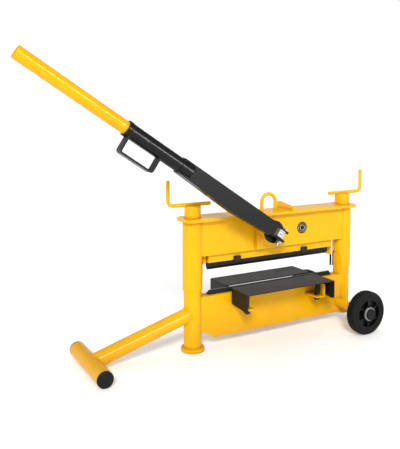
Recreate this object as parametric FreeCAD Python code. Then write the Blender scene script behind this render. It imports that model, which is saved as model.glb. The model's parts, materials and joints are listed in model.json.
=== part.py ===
"""Lever-operated splitter for tiles, slabs and paving blocks.

Two round columns stand on a lower beam that carries the fixed lower blade. A bridge with two sleeves
slides on the columns and is set in height by two crank spindles. Inside the bridge an eccentric shaft,
turned by the long lever, presses a blade beam down onto the stone. Two sprung tables carry the stone.

Frame: millimetres, +Z up, +X along the blades towards the wheels, front (lever side) at -Y.
The origin lies on the floor, midway between the two columns.
"""
import FreeCAD
import Part

import math
import os

Vec = FreeCAD.Vector

# ---------------------------------------------------------------- driving dimensions
blade_length = 430.0        # fixed lower blade, the size the machine is named by
working_gap = 56.7          # between the blade edges, as the bridge stands

# columns and their running fits
column_side_room = 46.0     # from the end of the lower blade to the column axis
column_radius = 24.0
column_wall = 4.0
foot_flange = 8.0
foot_height = 10.0
sleeve_fit = 0.08           # radial running fit of the sleeves on the columns
sleeve_wall = 2.9
sleeve_length = 186.0
slot_clearance = 1.5        # the slot in each sleeve passes over the lower beam
slot_height = 50.0

# lower beam and lower blade
beam_half_width = 17.5
beam_bottom = 25.0
beam_top = 146.0
beam_plate = 5.0
beam_bend = 13.0            # bend radius along the bottom edges
beam_corner_cut = (40.0, 25.0)
seat_depth = 34.0
blade_base_half = 7.0
blade_edge_half = 0.75
blade_rise = 11.8           # lower blade edge above the beam
blade_end_cut = 5.0
tang_half = 4.0
tang_depth = 12.0
set_screw_radius = 4.0
set_screw_pitch = 150.0

# outrigger foot
leg_radius = 20.0
leg_wall = 3.0
cross_radius = 20.5
leg_reach = 286.0           # from the left column to the cross tube
leg_height = 103.0          # where the leg axis meets the column axis
foot_half_length = 108.5
cap_thickness = 5.5
cap_plug = 14.0

# sprung tables
table_half_length = 150.0
table_inner = 13.0          # from the blade plane to the inner edge
table_outer = 97.0
table_sheet = 3.0
table_over_beam = 12.0
table_travel = 8.0
flange_clearance = 3.0      # end flange beside the lower beam
flange_drop = (42.0, 50.0)  # at the inner and the outer end
flange_lip = 10.0
stud_inset = 27.0
stud_y = 52.0
stud_radius = 5.0
stud_clearance = 0.4
bracket_half_width = 15.0
bracket_outer = 70.0
bracket_plate = 4.0
bracket_drop = 49.0         # bracket shelf below the table top
bracket_flange = 33.0
spring_wire = 1.4
spring_radius = 7.2         # to the middle of the wire
spring_turns = 7

# wheels
wheel_setback = 27.0        # axle inward of the right column axis
wheel_radius = 62.5
wheel_inner = 120.0
wheel_outer = 151.0
tyre_depth = 19.5
tyre_shoulder = 9.0
rim_drum = 4.0
rim_web = 7.0
rim_rib = 4.0
rim_ribs = 6
hub_radius = 19.0
hub_wall = 4.0
axle_radius = 8.0
axle_fit = 0.06
axle_tube_wall = 4.0
axle_cap_radius = 15.5

# bridge
plate_overhang = 35.0       # top plate beyond the column axes
plate_half_width = 38.0
plate_thickness = 8.0
plate_chamfer = 14.0
plate_over_columns = 52.0
pivot_drop = 45.0           # shaft axis below the top of the bridge
cheek_outer = 22.0          # outer faces of the front and rear cheek plates
cheek_thickness = 6.0
cheek_height = 95.0
doubler_thickness = 10.0
doubler_margin = 3.0
eye_wire = 5.0
eye_half_span = 23.5
eye_rise = 24.5
eye_x = -15.0
rib_x = (43.0, 56.0)
rib_rise = (8.0, 18.0)
scale_width = 5.0
scale_thickness = 3.0
scale_overlap = 20.0
scale_shift = 5.0             # scale beside the inner side of the sleeve

# blade beam in the bridge
press_half_width = 14.0
press_height = 32.5
press_to_pivot = 47.0       # from the top of the blade beam to the shaft axis
press_shift = 5.0           # the blade beam sits a little towards the foot
pad_half_length = 30.0
upper_blade_depth = 21.0    # below the blade beam
upper_blade_ends = (2.0, -16.0)     # beyond the lower blade, left and right
upper_bevel = 8.0
upper_tang = 11.0
clamp_insets = (87.0, 97.0)
clamp_rise = 6.0
clamp_bolt_radius = 4.0
clamp_head_half = 10.5       # blade clamp heads: flat bars that lap over the blade
clamp_head_lap = 4.0
clamp_head_margin = 0.8
guide_gap = 2.5
guide_bars = ((8.0, 120.0), (6.0, 144.0))   # thickness and length, left and right
guide_front = 4.0
cam_gap = 0.6

# lever and eccentric
pivot_x = -50.0
lever_angle = 33.4          # above horizontal, as it rests
shaft_radius = 15.0
shaft_fit = 0.06
cam_offset = 6.0
cam_wall = 3.0
cam_half_width = 13.5
bush_wall = 2.5
bush_flange = 5.0
housing_wall = 3.5
housing_front = 47.5        # housing in front of the front cheek
disc_gap = 1.5
disc_radius = 31.0
disc_thickness = 8.0
arm_depth = 27.0
arm_sheet = 3.0
arm_start = 29.0
arm_length = 355.0
arm_web_end = 320.0
handle_margin = 0.9         # between the handle's path and the flanges of the arm
fork_margin = 1.0           # between the clamp fork and the same flanges
arm_belly = 7.0
tine_thickness = 6.0
tine_reach = 25.0
fork_root = 44.0
fork_bolt_gap = 3.5
fork_bolt_clearance = 0.2
socket_end = 522.0
socket_wall = 2.7
mouth_band = (1.2, 10.0)    # height and width of the band at the mouth
lock_screw_radius = 3.5
lock_screw_inset = 13.0
handle_radius = 16.0
handle_wall = 2.5
handle_inner_end = 442.0
handle_end = 818.0
handle_fit = 0.10
grab_span = (411.0, 511.0)
grab_drop = 58.0
grab_width = 25.0
grab_bar = 5.0
grab_bend = 9.0

# cranks
crank_reach = 73.0
crank_tail = 53.0
crank_rod = 5.0
crank_bend = 15.0
crank_rise = 35.5           # crank bar above the top plate
grip_height = 66.5
crank_hub_radius = 22.0
hub_over_rod = 3.0
hub_gap = 0.2
spindle_radius = 10.0
spindle_fit = 0.06
spindle_hole_gap = 0.5
spindle_length = 192.0
spindle_in_hub = 22.0
collar_radius = 16.0
collar_height = 4.8
nut_height = 36.0

# values worked out from the ones above
column_spacing = blade_length + 2 * column_side_room
left_x = -column_spacing / 2.0
right_x = column_spacing / 2.0
column_bore = column_radius - column_wall
foot_radius = column_radius + foot_flange
sleeve_bore = column_radius + sleeve_fit
sleeve_radius = sleeve_bore + sleeve_wall
slot_half_width = beam_half_width + slot_clearance

blade_edge = beam_top + blade_rise
upper_blade_edge = blade_edge + working_gap
press_bottom = upper_blade_edge + upper_blade_depth
press_top = press_bottom + press_height
press_span = (-blade_length / 2 - press_shift, blade_length / 2 - press_shift)
upper_blade_span = (-blade_length / 2 - upper_blade_ends[0], blade_length / 2 + upper_blade_ends[1])
clamp_x = (upper_blade_span[0] + clamp_insets[0], upper_blade_span[1] - clamp_insets[1])
clamp_z = press_bottom + clamp_rise
pivot_z = press_top + press_to_pivot
plate_top = pivot_z + pivot_drop
plate_bottom = plate_top - plate_thickness
column_top = plate_bottom - plate_over_columns
sleeve_bottom = plate_bottom - sleeve_length
cheek_inner = cheek_outer - cheek_thickness
cheek_bottom = plate_bottom - cheek_height

table_top = beam_top + table_over_beam
bracket_top = table_top - bracket_drop
stud_x = table_half_length - stud_inset
flange_start = beam_half_width + flange_clearance
leg_foot_x = left_x - leg_reach

wheel_x = right_x - wheel_setback
tyre_inner_radius = wheel_radius - tyre_depth
axle_tube_radius = axle_radius + axle_fit + axle_tube_wall
wheel_middle = -(wheel_inner + wheel_outer) / 2.0
wheel_half = (wheel_outer - wheel_inner) / 2.0

cam_radius = shaft_radius + cam_offset + cam_wall
half_square = shaft_radius * 2.0 / 3.0
bush_radius = shaft_radius + shaft_fit + bush_wall
housing_radius = bush_radius + housing_wall
housing_end = cheek_outer + housing_front
arm_back = housing_end + disc_gap + disc_thickness
arm_front = arm_back + arm_depth
fork_front = arm_front - arm_sheet
tube_y = -(arm_back + arm_depth / 2.0)
handle_bore = handle_radius + handle_fit
socket_radius = handle_bore + socket_wall
arm_half = max(handle_bore + handle_margin, half_square + tine_thickness + fork_margin) + arm_sheet

crank_z = plate_top + crank_rise
hub_top = crank_z - hub_over_rod


# ---------------------------------------------------------------- helpers
def box(x0, x1, y0, y1, z0, z1):
    return Part.makeBox(x1 - x0, y1 - y0, z1 - z0, Vec(x0, y0, z0))


def rod(radius, start, end):
    """Round bar from start to end."""
    start, end = Vec(*start), Vec(*end)
    return Part.makeCylinder(radius, (end - start).Length, start, end - start)


def tube(outer, inner, start, end):
    return rod(outer, start, end).cut(rod(inner, start, end))


def prism(points, axis, start, end):
    """Straight-sided solid: a closed outline across the axis, reaching from start to end along it."""
    place = {"x": lambda a, b: Vec(start, a, b), "y": lambda a, b: Vec(a, start, b),
             "z": lambda a, b: Vec(a, b, start)}[axis]
    along = {"x": Vec(1, 0, 0), "y": Vec(0, 1, 0), "z": Vec(0, 0, 1)}[axis]
    wire = Part.makePolygon([place(a, b) for a, b in points + points[:1]])
    return Part.Face(wire).extrude(along * (end - start))


def fuse(solids):
    joined = solids[0]
    for solid in solids[1:]:
        joined = joined.fuse(solid)
    return joined.removeSplitter()


def cut(shape, tools):
    for tool in tools:
        shape = shape.cut(tool)
    return shape


def mirror_x(shape):
    return shape.mirror(Vec(0, 0, 0), Vec(1, 0, 0))


def mirror_y(shape):
    return shape.mirror(Vec(0, 0, 0), Vec(0, 1, 0))


def group(solids):
    return Part.makeCompound(solids)


def edges_at(shape, axis, level, along=None):
    """Edges that lie in the plane axis = level; with along, only those that run along that axis."""
    found = []
    for edge in shape.Edges:
        bounds = edge.BoundBox
        low, high = getattr(bounds, axis + "Min"), getattr(bounds, axis + "Max")
        flat = abs(low - level) < 0.01 and abs(high - level) < 0.01
        if flat and (along is None or getattr(bounds, along + "Length") > 1.0):
            found.append(edge)
    return found


def column_fill(radius):
    """Round bars as thick as asked, along both column axes."""
    return [rod(radius, (x, 0, -50), (x, 0, plate_top)) for x in (left_x, right_x)]


def raised(shape):
    """Turn a shape built with the lever lying along -X up to the angle at which the lever rests."""
    turned = shape.copy()
    turned.rotate(Vec(pivot_x, 0, pivot_z), Vec(0, 1, 0), lever_angle)
    return turned


def bent_rod(radius, points, bend):
    """Round bar along straight runs with equal bends at the inner points."""
    points = [Vec(*p) for p in points]
    edges, last = [], points[0]
    for before, corner, after in zip(points, points[1:], points[2:]):
        way_in = (corner - before).normalize()
        way_out = (after - corner).normalize()
        half_turn = way_in.getAngle(way_out) / 2.0
        setback = bend * math.tan(half_turn)
        arc_start = corner - way_in * setback
        arc_end = corner + way_out * setback
        inward = (way_out - way_in).normalize()
        centre = corner + inward * (bend / math.cos(half_turn))
        edges.append(Part.makeLine(last, arc_start))
        edges.append(Part.Arc(arc_start, centre - inward * bend, arc_end).toShape())
        last = arc_end
    edges.append(Part.makeLine(last, points[-1]))
    return sweep(radius, edges, points[0], points[1] - points[0])


def sweep(radius, edges, start, direction):
    profile = Part.Wire(Part.makeCircle(radius, start, direction))
    return Part.Wire(edges).makePipeShell([profile], True, False)


def hexagon(across_flats, height, centre, direction, bore=0.0):
    """Nut or bolt head whose near face is at centre; it is solid unless it has a bore."""
    corner = across_flats / math.sqrt(3.0)
    turns = [math.radians(60 * i) for i in range(7)]
    points = [Vec(corner * math.cos(t), corner * math.sin(t), 0) for t in turns]
    nut = Part.Face(Part.makePolygon(points)).extrude(Vec(0, 0, height))
    if bore:
        nut = nut.cut(Part.makeCylinder(bore, height))
    turn = FreeCAD.Rotation(Vec(0, 0, 1), Vec(*direction))
    nut.Placement = FreeCAD.Placement(Vec(*centre), turn)
    return nut


def coil(bottom, top, turns, x, y):
    """Wire spring between two levels."""
    low, high = bottom + spring_wire, top - spring_wire
    helix = Part.makeHelix((high - low) / turns, high - low, spring_radius)
    profile = Part.Wire(Part.makeCircle(spring_wire, Vec(spring_radius, 0, 0), Vec(0, 1, 0)))
    spring = Part.Wire(helix).makePipeShell([profile], True, True)
    spring.translate(Vec(x, y, low))
    return spring


# ---------------------------------------------------------------- base frame
def axle_space():
    return rod(axle_tube_radius, (wheel_x, -wheel_inner, wheel_radius), (wheel_x, wheel_inner, wheel_radius))


def columns():
    left = tube(column_radius, column_bore, (left_x, 0, foot_height), (left_x, 0, column_top))
    right = tube(column_radius, column_bore, (right_x, 0, beam_bottom), (right_x, 0, column_top))
    return left, right.cut(axle_space())


def column_foot():
    disc = rod(foot_radius, (left_x, 0, 0), (left_x, 0, foot_height))
    return disc.makeChamfer(1.5, edges_at(disc, "Z", foot_height))


def lower_beam():
    """Folded channel between the columns, open at the top, with one cut lower corner."""
    outer = box(left_x, right_x, -beam_half_width, beam_half_width, beam_bottom, beam_top)
    outer = outer.makeFillet(beam_bend, edges_at(outer, "Z", beam_bottom, "X"))
    inside, floor = beam_half_width - beam_plate, beam_bottom + beam_plate
    inner = box(left_x - 1, right_x + 1, -inside, inside, floor, beam_top + 1)
    inner = inner.makeFillet(beam_bend - beam_plate, edges_at(inner, "Z", floor, "X"))
    corner_x = left_x + column_radius
    cut_x, cut_z = corner_x + beam_corner_cut[0], beam_bottom + beam_corner_cut[1]
    outline = [(left_x, beam_bottom - 1), (cut_x, beam_bottom - 1), (cut_x, beam_bottom),
               (corner_x, cut_z), (left_x, cut_z)]
    corner = prism(outline, "y", -plate_half_width, plate_half_width)
    return cut(outer, [inner, corner, axle_space()] + column_fill(column_radius) + set_screws())


def blade_seat():
    """Bar that closes the top of the lower beam and holds the tang of the lower blade."""
    inside = beam_half_width - beam_plate
    bar = box(left_x, right_x, -inside, inside, beam_top - seat_depth, beam_top)
    groove = box(-blade_length, blade_length, -tang_half, tang_half, beam_top - tang_depth, beam_top + 1)
    return cut(bar, [groove] + column_fill(column_radius) + set_screws())


def lower_blade():
    """Roof-shaped blade with a tang, its ends cut at a slant."""
    half = blade_length / 2.0
    side = [(tang_half, beam_top - tang_depth), (tang_half, beam_top), (blade_base_half, beam_top),
            (blade_base_half, beam_top + 2), (blade_edge_half, blade_edge)]
    profile = side + [(-y, z) for y, z in reversed(side)]
    blade = prism(profile, "x", -half, half)
    outline = [(half - blade_end_cut, blade_edge + 1), (half + 1, blade_edge + 1),
               (half + 1, beam_top + 1), (half, beam_top + 1)]
    slant = prism(outline, "y", -plate_half_width, plate_half_width)
    return cut(blade, [slant, mirror_x(slant)])


def set_screws():
    """Grub screws through the rear wall and the seat, against the tang."""
    z = beam_top - tang_depth / 2.0
    return [rod(set_screw_radius, (x, tang_half, z), (x, beam_half_width + 2, z))
            for x in (-set_screw_pitch, 0.0, set_screw_pitch)]


def cross_bar(radius, start, end):
    """Round bar on the axis of the cross tube, between two distances from the middle."""
    return rod(radius, (leg_foot_x, start, cross_radius), (leg_foot_x, end, cross_radius))


def outrigger_tube():
    leg = tube(leg_radius, leg_radius - leg_wall, (leg_foot_x, 0, cross_radius), (left_x, 0, leg_height))
    return cut(leg, [cross_bar(cross_radius, -foot_half_length, foot_half_length)] + column_fill(column_radius))


def foot_cross_tube():
    end = foot_half_length - cap_thickness
    return cross_bar(cross_radius, -end, end).cut(cross_bar(cross_radius - leg_wall, -end, end))


def foot_end_caps():
    """Push-in plastic caps, one at each end of the cross tube."""
    end, bore = foot_half_length - cap_thickness, cross_radius - leg_wall
    head = cross_bar(cross_radius, end, foot_half_length)
    head = head.makeFillet(2.5, edges_at(head, "Y", foot_half_length))
    plug = cross_bar(bore, end - cap_plug, end).cut(cross_bar(bore - leg_wall, end - cap_plug, end))
    cap = fuse([head, plug])
    return group([cap, mirror_y(cap)])


def table_brackets():
    """Four angles on the beam walls; the springs stand on them and the studs run through them."""
    near, far = stud_x - bracket_half_width, stud_x + bracket_half_width
    shelf = box(near, far, -bracket_outer, -beam_half_width, bracket_top - bracket_plate, bracket_top)
    side = box(far - bracket_plate, far, -bracket_outer, -beam_half_width, bracket_top,
               bracket_top + bracket_flange)
    hole = rod(stud_radius + stud_clearance, (stud_x, -stud_y, 0), (stud_x, -stud_y, table_top))
    bracket = fuse([shelf, side]).cut(hole)
    front = [bracket, mirror_x(bracket)]
    return group(front + [mirror_y(b) for b in front])


def axle_tube():
    end = wheel_inner - 5.0
    return tube(axle_tube_radius, axle_radius, (wheel_x, -end, wheel_radius), (wheel_x, end, wheel_radius))


def axle_and_caps():
    """Axle, drilled at both ends for the stems of its two caps."""
    end, depth, stem = wheel_outer + 4.5, 10.0, axle_radius / 2.0
    axle = rod(axle_radius, (wheel_x, -end, wheel_radius), (wheel_x, end, wheel_radius))
    head = rod(axle_cap_radius, (wheel_x, -end, wheel_radius), (wheel_x, -end - 5.5, wheel_radius))
    head = head.makeFillet(2.5, edges_at(head, "Y", -end - 5.5))
    pin = rod(stem, (wheel_x, -end + depth, wheel_radius), (wheel_x, -end, wheel_radius))
    caps = [fuse([head, pin]), mirror_y(fuse([head, pin]))]
    return cut(axle, [pin, mirror_y(pin)]), group(caps)


def spindle_nuts():
    """Bronze nuts that fill the tops of the columns."""
    return group([tube(column_bore, spindle_radius + spindle_fit, (x, 0, column_top - nut_height),
                       (x, 0, column_top)) for x in (left_x, right_x)])


# ---------------------------------------------------------------- tables and wheels
def front_table():
    """Sheet table with a folded flange and a lip at each end."""
    under = table_top - table_sheet
    sheet = box(-table_half_length, table_half_length, -table_outer, -table_inner, under, table_top)
    low_in, low_out = table_top - flange_drop[0], table_top - flange_drop[1]
    outline = [(-table_outer, under), (-table_outer, low_out), (-flange_start, low_in),
               (-flange_start, under)]
    flange = prism(outline, "x", table_half_length - table_sheet, table_half_length)
    outline = [(-table_outer, low_out), (-table_outer, low_out + table_sheet),
               (-flange_start, low_in + table_sheet), (-flange_start, low_in)]
    lip = prism(outline, "x", table_half_length - flange_lip, table_half_length - table_sheet)
    end = fuse([flange, lip])
    table = fuse([sheet, end, mirror_x(end)])
    folds = [e for e in edges_at(table, "Z", table_top, "Y")]
    return table.makeFillet(table_sheet * 0.8, folds)


def front_table_studs():
    """Two studs welded under the table, each with a lock nut under its bracket."""
    solids, shelf = [], bracket_top - bracket_plate
    for x in (-stud_x, stud_x):
        solids.append(rod(stud_radius, (x, -stud_y, shelf - 14), (x, -stud_y, table_top - table_sheet)))
        solids.append(hexagon(16.0, 8.0, (x, -stud_y, shelf - 0.3), (0, 0, -1), stud_radius))
    return group(solids)


def front_table_springs():
    return group([coil(bracket_top, table_top - table_sheet, spring_turns, x, -stud_y)
                  for x in (-stud_x, stud_x)])


def ring(points):
    """Ring round the wheel axle; each point is (radius, y)."""
    outline = [Vec(wheel_x + r, y, wheel_radius) for r, y in points + points[:1]]
    return Part.Face(Part.makePolygon(outline)).revolve(Vec(wheel_x, 0, wheel_radius), Vec(0, 1, 0), 360)


def flat_ring(inner, outer, y0, y1):
    return ring([(inner, y0), (outer, y0), (outer, y1), (inner, y1)])


def front_tyre():
    tyre = flat_ring(tyre_inner_radius, wheel_radius, wheel_middle - wheel_half, wheel_middle + wheel_half)
    rims = [e for e in tyre.Edges if e.BoundBox.XLength > 2 * wheel_radius - 1]
    return tyre.makeFillet(tyre_shoulder, rims)


def front_rim():
    """Plastic rim: drum under the tyre, web, ribs and hub."""
    seat, hub = hub_radius - hub_wall, hub_radius + 3.0
    drum = tyre_inner_radius - rim_drum
    edge = wheel_half - 1.0
    solids = [flat_ring(drum, tyre_inner_radius, wheel_middle - edge, wheel_middle + edge),
              flat_ring(seat, drum, wheel_middle - rim_web / 2, wheel_middle + rim_web / 2),
              flat_ring(seat, hub, wheel_middle - wheel_half, wheel_middle + wheel_half)]
    for i in range(rim_ribs):
        rib = box(wheel_x + hub - 1, wheel_x + drum + 1, wheel_middle - edge + 3, wheel_middle + edge - 3,
                  wheel_radius - rim_rib / 2, wheel_radius + rim_rib / 2)
        rib.rotate(Vec(wheel_x, 0, wheel_radius), Vec(0, 1, 0), 360.0 * (i + 0.5) / rim_ribs)
        solids.append(rib)
    return fuse(solids)


def front_bearings():
    """Flanged bearing rings, one in each face of the hub, running on the axle."""
    bore, seat, lip, depth = axle_radius + axle_fit, hub_radius - hub_wall, 3.0, 9.0
    rings = []
    for side in (-1, 1):
        face = wheel_middle + side * wheel_half
        rings.append(ring([(bore, face - side * depth), (bore, face + side * lip),
                           (hub_radius, face + side * lip), (hub_radius, face), (seat, face),
                           (seat, face - side * depth)]))
    return group(rings)


# ---------------------------------------------------------------- bridge
def sleeve(x, inward):
    """Sliding sleeve with a round-topped slot on its inner side."""
    body = tube(sleeve_radius, sleeve_bore, (x, 0, sleeve_bottom), (x, 0, plate_bottom))
    arch_z = sleeve_bottom + slot_height - slot_half_width
    reach = inward * (sleeve_radius + 5.0)
    low = box(min(x, x + reach), max(x, x + reach), -slot_half_width, slot_half_width,
              sleeve_bottom - 1, arch_z)
    return cut(body, [low, rod(slot_half_width, (x, 0, arch_z), (x + reach, 0, arch_z))])


def top_plate():
    a, b, c = right_x + plate_overhang, plate_half_width, plate_chamfer
    corner = [(a - c, -b), (a, -b + c), (a, b - c), (a - c, b)]
    plate = prism(corner + [(-x, y) for x, y in reversed(corner)], "z", plate_bottom, plate_top)
    return cut(plate, [rod(spindle_radius + spindle_hole_gap, (x, 0, plate_bottom), (x, 0, plate_top))
                       for x in (left_x, right_x)])


def shaft_space(radius):
    return rod(radius, (pivot_x, -housing_end, pivot_z), (pivot_x, housing_end, pivot_z))


def cheek(side, bore):
    """Side plate of the bridge between the sleeves, bored for the shaft housing or bush."""
    y0, y1 = sorted((side * cheek_inner, side * cheek_outer))
    plate = box(left_x, right_x, y0, y1, cheek_bottom, plate_bottom)
    return cut(plate, column_fill(sleeve_radius) + [shaft_space(bore)])


def pivot_doubler():
    half = housing_radius + doubler_margin
    plate = box(pivot_x - half, pivot_x + half, -cheek_outer - doubler_thickness, -cheek_outer,
                cheek_bottom + 3, plate_bottom)
    return plate.cut(shaft_space(housing_radius))


def shaft_housing():
    return tube(housing_radius, bush_radius, (pivot_x, -housing_end, pivot_z),
                (pivot_x, -cheek_inner, pivot_z))


def shaft_bushes():
    """Bronze bushes: a long one in the housing, a flanged one in the rear cheek."""
    bore, flange_end = shaft_radius + shaft_fit, cheek_outer + 3.0
    front = tube(bush_radius, bore, (pivot_x, -housing_end, pivot_z), (pivot_x, -cheek_inner, pivot_z))
    rear = tube(bush_radius, bore, (pivot_x, cheek_inner, pivot_z), (pivot_x, flange_end, pivot_z))
    flange = tube(bush_radius + bush_flange, bore, (pivot_x, cheek_outer, pivot_z),
                  (pivot_x, flange_end, pivot_z))
    return group([front, fuse([rear, flange])])


def lifting_eye():
    knee = plate_top + eye_rise
    left, right = eye_x - eye_half_span, eye_x + eye_half_span
    arch = Part.Arc(Vec(left, 0, knee), Vec(eye_x, 0, knee + eye_half_span), Vec(right, 0, knee))
    edges = [Part.makeLine(Vec(left, 0, plate_top), Vec(left, 0, knee)), arch.toShape(),
             Part.makeLine(Vec(right, 0, knee), Vec(right, 0, plate_top))]
    return sweep(eye_wire, edges, Vec(left, 0, plate_top), Vec(0, 0, 1))


def top_rib():
    """Upright rib across the top plate, rising towards the back."""
    outline = [(-plate_half_width, plate_top), (plate_half_width, plate_top),
               (plate_half_width, plate_top + rib_rise[1]), (-plate_half_width, plate_top + rib_rise[0])]
    return prism(outline, "x", rib_x[0], rib_x[1])


def beam_guides():
    """Flat bars on the rear cheek that keep the blade beam in line at both ends."""
    (left_bar, left_length), (right_bar, right_length) = guide_bars
    left = press_span[0] - guide_gap
    right = press_span[1] + guide_gap
    bars = [box(left - left_bar, left, -guide_front, cheek_inner, plate_bottom - left_length, plate_bottom),
            box(right, right + right_bar, -guide_front, cheek_inner, plate_bottom - right_length,
                plate_bottom)]
    return group([cut(bar, column_fill(sleeve_radius)) for bar in bars])


def gap_scale():
    """Dark strip beside the right sleeve on which the cutting height is read."""
    x = right_x - sleeve_radius + scale_shift
    return box(x - scale_width / 2, x + scale_width / 2, cheek_outer, cheek_outer + scale_thickness,
               sleeve_bottom, cheek_bottom + scale_overlap)


# ---------------------------------------------------------------- blade beam
def clamp_spaces():
    return [rod(clamp_bolt_radius, (x, -plate_half_width, clamp_z), (x, plate_half_width, clamp_z))
            for x in clamp_x]


def blade_beam():
    """Beam with a raised pad under the eccentric and a groove for the upper blade."""
    pad_top = pivot_z - cam_radius - cam_gap
    half = press_half_width
    bar = box(press_span[0], press_span[1], -half, half, press_bottom, press_top)
    pad = box(pivot_x - pad_half_length, pivot_x + pad_half_length, -half, half, press_top, pad_top)
    groove = box(upper_blade_span[0], upper_blade_span[1], -blade_base_half, blade_base_half,
                 press_bottom - 1, press_bottom + upper_tang)
    return cut(fuse([bar, pad]), [groove] + clamp_spaces())


def upper_blade():
    side = [(blade_edge_half, upper_blade_edge), (blade_base_half, upper_blade_edge + upper_bevel),
            (blade_base_half, press_bottom + upper_tang)]
    profile = side + [(-y, z) for y, z in reversed(side)]
    return cut(prism(profile, "x", *upper_blade_span), clamp_spaces())


def blade_clamp_bolts():
    solids, face, head_height = [], press_half_width, 5.0
    for x in clamp_x:
        shank = rod(clamp_bolt_radius, (x, -face, clamp_z), (x, face + 8, clamp_z))
        head_top = clamp_z + clamp_bolt_radius + clamp_head_margin
        head = box(x - clamp_head_half, x + clamp_head_half, -face - head_height, -face,
                   press_bottom - clamp_head_lap, head_top)
        head = head.makeFillet(2.5, edges_at(head, "Z", head_top, "Y"))
        solids.append(fuse([shank, head]))
        solids.append(hexagon(13.0, 6.5, (x, face, clamp_z), (0, 1, 0), clamp_bolt_radius))
    return group(solids)


def return_springs():
    """Two tension springs that hang the blade beam from the top plate."""
    x = set_screw_pitch + 15.0
    return group([coil(press_top, plate_bottom, 2 * spring_turns, side * x, 0) for side in (-1, 1)])


# ---------------------------------------------------------------- lever (built along -X, then raised)
def eccentric_shaft():
    """Round shaft with a square front end."""
    front = -arm_front - 4.0
    bar = rod(shaft_radius, (pivot_x, -arm_back, pivot_z), (pivot_x, cheek_outer + 8, pivot_z))
    end = box(pivot_x - half_square, pivot_x + half_square, front, -arm_back + disc_thickness,
              pivot_z - half_square, pivot_z + half_square)
    centre_drill = Part.makeCone(4.0, 1.0, 6.0, Vec(pivot_x, front, pivot_z), Vec(0, 1, 0))
    return fuse([bar, raised(end.cut(centre_drill))])


def eccentric_cam():
    """Eccentric keyed on the shaft between the cheeks."""
    x = pivot_x - cam_offset
    disc = rod(cam_radius, (x, -cam_half_width, pivot_z), (x, cam_half_width, pivot_z))
    return disc.cut(shaft_space(shaft_radius))


def shaft_clip():
    """Retaining ring behind the rear bush."""
    y = cheek_outer + 3.2
    return tube(bush_radius + 1, shaft_radius, (pivot_x, y, pivot_z), (pivot_x, y + 2.5, pivot_z))


def thrust_disc():
    """Round flange between the lever clamp and the shaft housing."""
    disc = tube(disc_radius, shaft_radius, (pivot_x, -arm_back, pivot_z),
                (pivot_x, -arm_back + disc_thickness, pivot_z))
    rims = [e for e in disc.Edges if e.BoundBox.XLength > 2 * disc_radius - 1]
    return disc.makeChamfer(1.0, rims)


def fork_bolt_place():
    """Middle of the clamp bolt and how far its head and nut sit from the shaft axis."""
    x = pivot_x + half_square + clamp_bolt_radius + fork_bolt_gap
    return x, -(fork_front + arm_back) / 2.0, half_square + tine_thickness


def clamp_fork():
    """Two tines that grip the square shaft end from above and below."""
    root, tip = pivot_x - fork_root, pivot_x + tine_reach
    far = half_square + tine_thickness
    block = box(root, tip, -fork_front, -arm_back, pivot_z - far, pivot_z + far)
    mouth = box(pivot_x - half_square, tip, -fork_front, -arm_back, pivot_z - half_square,
                pivot_z + half_square)
    x, y, far = fork_bolt_place()
    bolt = rod(clamp_bolt_radius + fork_bolt_clearance, (x, y, pivot_z - 2 * far), (x, y, pivot_z + 2 * far))
    return raised(cut(block, [mouth, bolt]))


def clamp_bolt():
    """Bolt and nut that draw the tines together beyond the shaft."""
    x, y, far = fork_bolt_place()
    shank = rod(clamp_bolt_radius, (x, y, pivot_z - far - 14), (x, y, pivot_z + far))
    head = hexagon(13.0, 5.5, (x, y, pivot_z + far), (0, 0, 1))
    nut = hexagon(13.0, 6.5, (x, y, pivot_z - far), (0, 0, -1), clamp_bolt_radius)
    return group([raised(fuse([shank, head])), raised(nut)])


def arm_outline(inset, past_end):
    """Outline of the lever arm seen from the front: straight on top, with a belly below."""
    start, end = pivot_x - arm_start + past_end, pivot_x - arm_length - past_end
    top, low = pivot_z + arm_half - inset, pivot_z - arm_half + inset
    return [(start, top), (start, low), (pivot_x - arm_web_end / 2.0, low - arm_belly), (end, low), (end, top)]


def lever_arm():
    """Folded channel, open at the back and the ends, its web cut back at the socket."""
    outer = prism(arm_outline(0.0, 0.0), "y", -arm_front, -arm_back)
    inner = prism(arm_outline(arm_sheet, 1.0), "y", -fork_front, -arm_back + 1)
    inside = arm_half - arm_sheet
    window = box(pivot_x - arm_length - 1, pivot_x - arm_web_end, -arm_front - 1, -fork_front,
                 pivot_z - inside, pivot_z + inside)
    return raised(cut(outer, [inner, window]))


def lock_screw_line(start, end):
    """Round bar on the axis of the lock screw, between two distances in front of the tube axis."""
    x = pivot_x - socket_end + lock_screw_inset
    return rod(lock_screw_radius, (x, tube_y - end, pivot_z), (x, tube_y - start, pivot_z))


def lever_socket():
    """Tube welded between the flanges of the arm; the handle slides in it."""
    end, start = pivot_x - socket_end, pivot_x - arm_web_end
    socket = tube(socket_radius, handle_bore, (end, tube_y, pivot_z), (start, tube_y, pivot_z))
    inside = arm_half - arm_sheet
    flanges = [box(pivot_x - arm_length, start, -arm_front, -arm_back, z, z + arm_sheet)
               for z in (pivot_z - arm_half, pivot_z + inside)]
    band_height, band_width = mouth_band
    band = tube(socket_radius + band_height, handle_bore, (end, tube_y, pivot_z),
                (end + band_width, tube_y, pivot_z))
    socket = fuse([cut(socket, flanges), band])
    return raised(socket.cut(lock_screw_line(0.0, 2 * socket_radius)))


def handle_lock_screw():
    """Set screw in the socket that holds the handle."""
    return raised(lock_screw_line(handle_bore, socket_radius + 4.0))


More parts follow.
